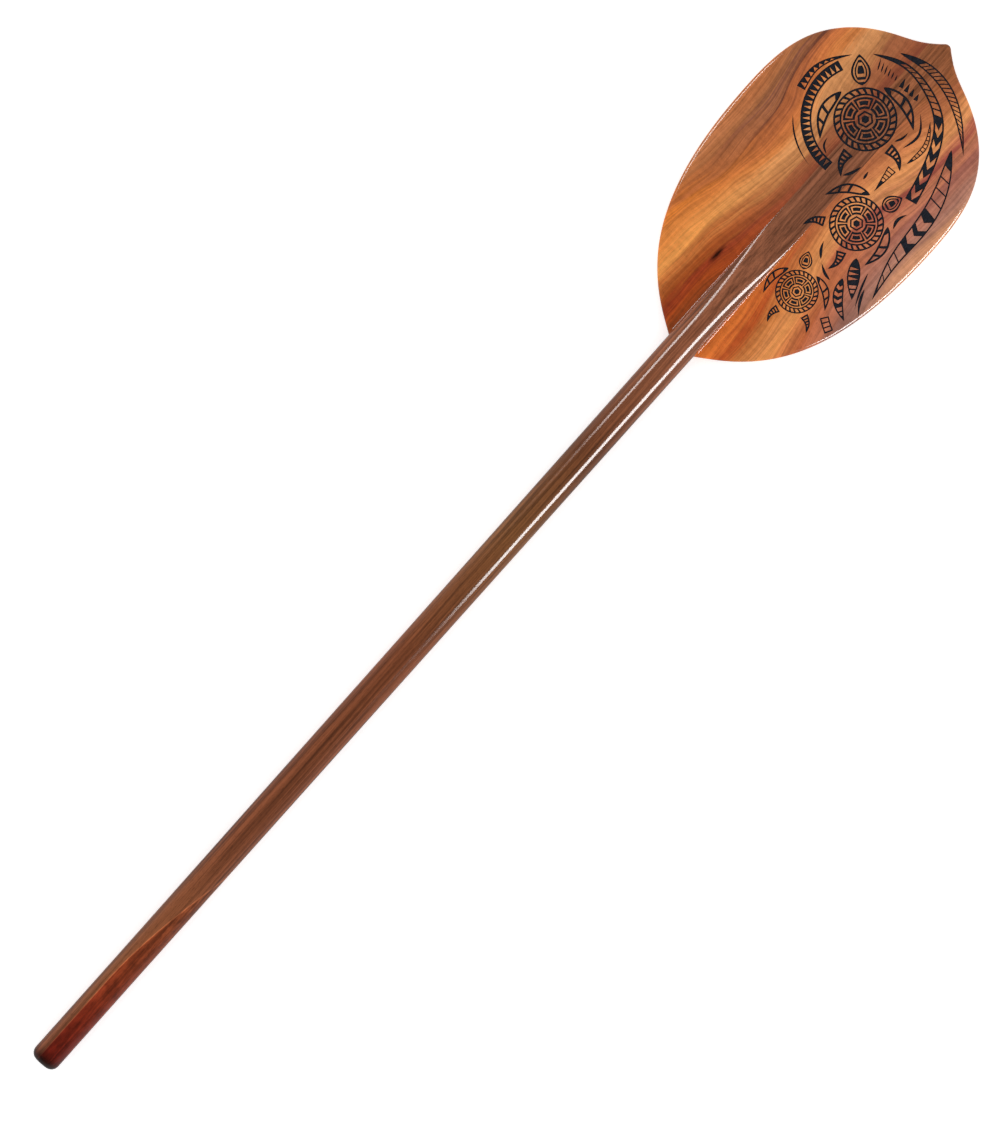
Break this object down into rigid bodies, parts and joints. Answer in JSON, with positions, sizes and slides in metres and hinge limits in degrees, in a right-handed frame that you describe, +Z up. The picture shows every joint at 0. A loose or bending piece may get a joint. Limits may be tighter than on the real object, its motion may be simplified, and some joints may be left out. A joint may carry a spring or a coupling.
{
  "type": "single blade paddle",
  "caption": "Straight wooden single blade paddle: round shaft running on as the blade's spine, with a carved leaf-shaped blade of glued boards.",
  "frame": {"origin": "on the surface that the paddle lies on, at the middle of its length and of its width", "axes": "+X from the grip end to the blade's tip, +Y to the left wing seen from above with the tip ahead, +Z up out of the face with the rib and the carving"},
  "size_m": [1.524, 0.2782, 0.0373],
  "materials": {
    "shaft_wood": "gloss lacquer",
    "wing_wood": "gloss lacquer",
    "dowel_wood": "bare, sanded"
  },
  "bodies": {
    "root": {"shaft_spine": "shaft_wood", "left_wing": "wing_wood", "right_wing": "wing_wood", "throat_dowel": "dowel_wood", "middle_dowel": "dowel_wood", "tip_dowel": "dowel_wood"}
  },
  "joints": []
}
